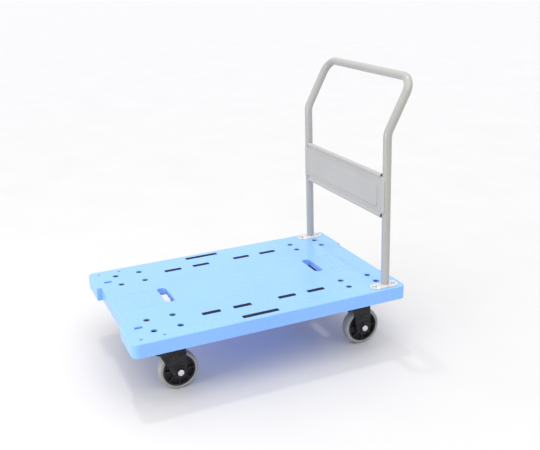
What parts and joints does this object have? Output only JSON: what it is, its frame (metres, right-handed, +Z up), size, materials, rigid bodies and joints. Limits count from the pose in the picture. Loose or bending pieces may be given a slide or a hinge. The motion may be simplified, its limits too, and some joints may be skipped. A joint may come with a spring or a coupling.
{
  "type": "flatbed platform truck",
  "caption": "Flatbed platform truck with a moulded resin deck, bent tube push handle with sign panel, two swivel and two rigid casters.",
  "frame": {"origin": "on the floor under the centre of the truck's own bounding box, midway between the front end of the platform and the back of the hand bar", "axes": "+X from the front (swivel caster) end to the handle end, +Y to the operator's right, +Z up"},
  "size_m": [0.9492, 0.6, 0.9006],
  "materials": {
    "platform_resin": "satin moulded resin, fine grain",
    "grip_rubber": "matt black rubber",
    "handle_paint": "smooth satin grey paint",
    "panel_paint": "smooth satin light grey paint",
    "fork_resin": "black reinforced resin",
    "wheel_resin": "black moulded resin",
    "tyre_rubber": "grey non-marking rubber",
    "zinc_steel": "bright zinc plate",
    "black_steel": "black oxide",
    "bearing_steel": "ground steel"
  },
  "bodies": {
    "truck": {"deck": "platform_resin", "short_grip_strips": "grip_rubber", "long_grip_strips": "grip_rubber", "handle_tube": "handle_paint", "left_handle_flange": "handle_paint", "right_handle_flange": "handle_paint", "sign_panel": "panel_paint", "handle_bolts": "zinc_steel", "handle_washers": "zinc_steel", "handle_nuts": "zinc_steel", "caster_bolts": "black_steel", "caster_washers": "black_steel", "caster_nuts": "zinc_steel", "front_left_top_plate": "zinc_steel", "front_left_swivel_balls": "bearing_steel", "front_left_kingpin": "zinc_steel", "front_right_top_plate": "zinc_steel", "front_right_swivel_balls": "bearing_steel", "front_right_kingpin": "zinc_steel", "rear_left_fork": "fork_resin", "rear_left_axle_bolt": "zinc_steel", "rear_left_axle_washers": "black_steel", "rear_left_axle_nut": "zinc_steel", "rear_left_axle_sleeve": "bearing_steel", "rear_right_fork": "fork_resin", "rear_right_axle_bolt": "zinc_steel", "rear_right_axle_washers": "black_steel", "rear_right_axle_nut": "zinc_steel", "rear_right_axle_sleeve": "bearing_steel"},
    "front_left_caster": {"front_left_fork": "fork_resin", "front_left_axle_bolt": "zinc_steel", "front_left_axle_washers": "black_steel", "front_left_axle_nut": "zinc_steel", "front_left_axle_sleeve": "bearing_steel"},
    "front_left_wheel": {"front_left_wheel_core": "wheel_resin", "front_left_tyre": "tyre_rubber", "front_left_bearings": "bearing_steel"},
    "front_right_caster": {"front_right_fork": "fork_resin", "front_right_axle_bolt": "zinc_steel", "front_right_axle_washers": "black_steel", "front_right_axle_nut": "zinc_steel", "front_right_axle_sleeve": "bearing_steel"},
    "front_right_wheel": {"front_right_wheel_core": "wheel_resin", "front_right_tyre": "tyre_rubber", "front_right_bearings": "bearing_steel"},
    "rear_left_wheel": {"rear_left_wheel_core": "wheel_resin", "rear_left_tyre": "tyre_rubber", "rear_left_bearings": "bearing_steel"},
    "rear_right_wheel": {"rear_right_wheel_core": "wheel_resin", "rear_right_tyre": "tyre_rubber", "rear_right_bearings": "bearing_steel"}
  },
  "joints": [
    {"name": "front_left_swivel", "type": "hinge", "parent": "truck", "child": "front_left_caster", "pos_m": [-0.35062, -0.1935, 0.137], "axis": [0, 0, 1], "continuous": true},
    {"name": "front_left_wheel_spin", "type": "hinge", "parent": "front_left_caster", "child": "front_left_wheel", "pos_m": [-0.31762, -0.1935, 0.0625], "axis": [0, 1, 0], "continuous": true},
    {"name": "front_right_swivel", "type": "hinge", "parent": "truck", "child": "front_right_caster", "pos_m": [-0.35062, 0.1935, 0.137], "axis": [0, 0, 1], "continuous": true},
    {"name": "front_right_wheel_spin", "type": "hinge", "parent": "front_right_caster", "child": "front_right_wheel", "pos_m": [-0.31762, 0.1935, 0.0625], "axis": [0, 1, 0], "continuous": true},
    {"name": "rear_left_wheel_spin", "type": "hinge", "parent": "truck", "child": "rear_left_wheel", "pos_m": [0.32568, -0.1935, 0.0625], "axis": [0, 1, 0], "continuous": true},
    {"name": "rear_right_wheel_spin", "type": "hinge", "parent": "truck", "child": "rear_right_wheel", "pos_m": [0.32568, 0.1935, 0.0625], "axis": [0, 1, 0], "continuous": true}
  ]
}
